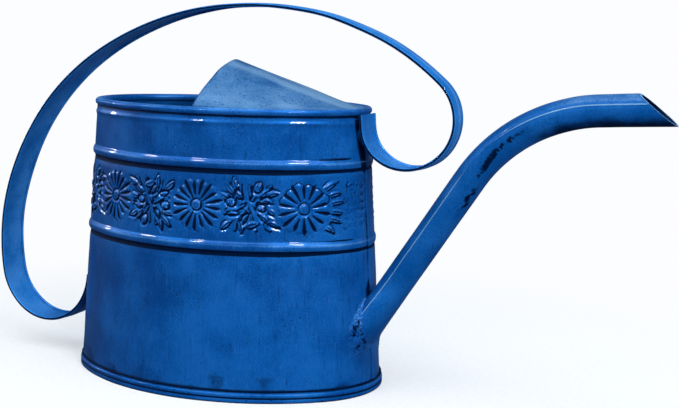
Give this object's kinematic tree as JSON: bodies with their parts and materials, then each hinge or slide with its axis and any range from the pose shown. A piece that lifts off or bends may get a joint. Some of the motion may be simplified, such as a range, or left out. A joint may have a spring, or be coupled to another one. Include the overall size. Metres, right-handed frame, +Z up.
{
  "type": "watering can",
  "caption": "Oval sheet-metal watering can with a wired rim, an arched hood over the front half, a curled strap handle and a bent spout with a slanted mouth.",
  "frame": {"origin": "on the ground under the middle of the foot", "axes": "+X towards the spout, +Y to the left of someone facing the spout's way, +Z up"},
  "size_m": [0.4324, 0.139, 0.2277],
  "materials": {
    "wall_enamel": "blue lacquer over embossed sheet, darkened in the recesses, fine streaks",
    "base_enamel": "blue lacquer, duller than the wall",
    "trim_enamel": "blue lacquer, glossy, worn lighter on the crests",
    "wire_steel": "plain drawn wire, hidden in the roll",
    "hood_enamel": "dusty blue lacquer with dark specks",
    "solder_enamel": "lacquered solder, lumpy, dark in the hollows",
    "strap_enamel": "blue lacquer with darkened edges",
    "spout_enamel": "blue lacquer with dark smears along the underside"
  },
  "bodies": {
    "root": {"wall": "wall_enamel", "base_pan": "base_enamel", "base_hoop": "trim_enamel", "rim_roll": "trim_enamel", "rim_wire": "wire_steel", "hood": "hood_enamel", "hood_solder": "solder_enamel", "handle_strap": "strap_enamel", "front_solder": "solder_enamel", "rear_solder": "solder_enamel", "spout_tube": "spout_enamel", "spout_solder": "solder_enamel"}
  },
  "joints": []
}
